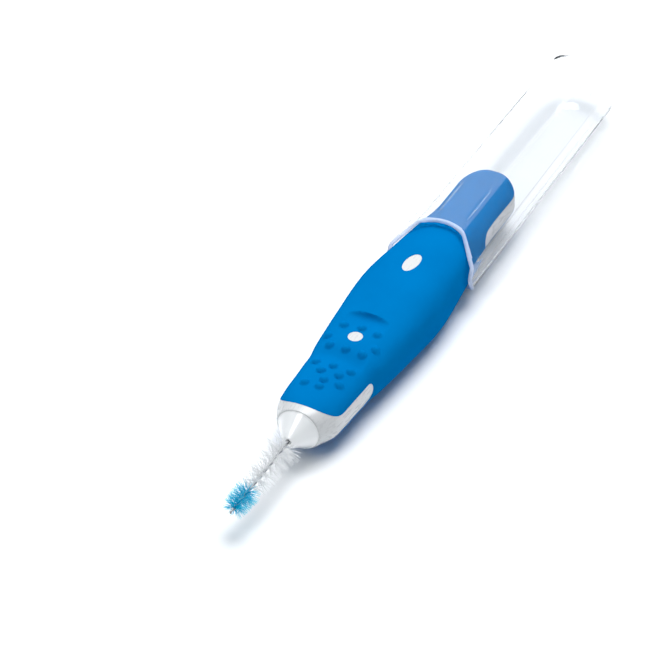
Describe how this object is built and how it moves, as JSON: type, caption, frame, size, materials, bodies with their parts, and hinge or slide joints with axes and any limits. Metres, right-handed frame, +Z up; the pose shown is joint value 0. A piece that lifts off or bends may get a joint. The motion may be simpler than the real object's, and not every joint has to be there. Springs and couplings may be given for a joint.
{
  "type": "interdental brush",
  "caption": "Interdental brush: rubber-gripped oval handle, tapered twisted-wire brush head with a coloured tip, and a clear faceted cap pushed on the tail.",
  "frame": {"origin": "centre of the footprint on the surface that the brush lies on", "axes": "+X runs along the brush axis from the wire tip to the closed end of the cap, +Y across the handle, +Z up out of the flat faces of the grip"},
  "size_m": [0.0936, 0.0112, 0.0084],
  "materials": {
    "core_white": "glossy injection moulded",
    "grip_blue": "satin soft-touch elastomer",
    "cone_pearl": "slightly translucent, pearly",
    "wire_steel": "bright drawn wire",
    "filament_blue": "translucent nylon filament",
    "filament_white": "translucent nylon filament",
    "cap_clear": "clear rigid polymer"
  },
  "bodies": {
    "handle": {"handle_core": "core_white", "grip_overmould": "grip_blue", "nose_cone": "cone_pearl", "stem_wire": "wire_steel", "blue_filament_fan_01": "filament_blue", "blue_filament_fan_02": "filament_blue", "blue_filament_fan_03": "filament_blue", "white_filament_fan_04": "filament_white", "white_filament_fan_05": "filament_white", "white_filament_fan_06": "filament_white", "white_filament_fan_07": "filament_white", "white_filament_fan_08": "filament_white", "white_filament_fan_09": "filament_white", "white_filament_fan_10": "filament_white"},
    "cap": {"cap": "cap_clear"}
  },
  "joints": [
    {"name": "cap_slide", "type": "slide", "parent": "handle", "child": "cap", "axis": [1, 0, 0], "range_m": [0, 0.022]}
  ]
}
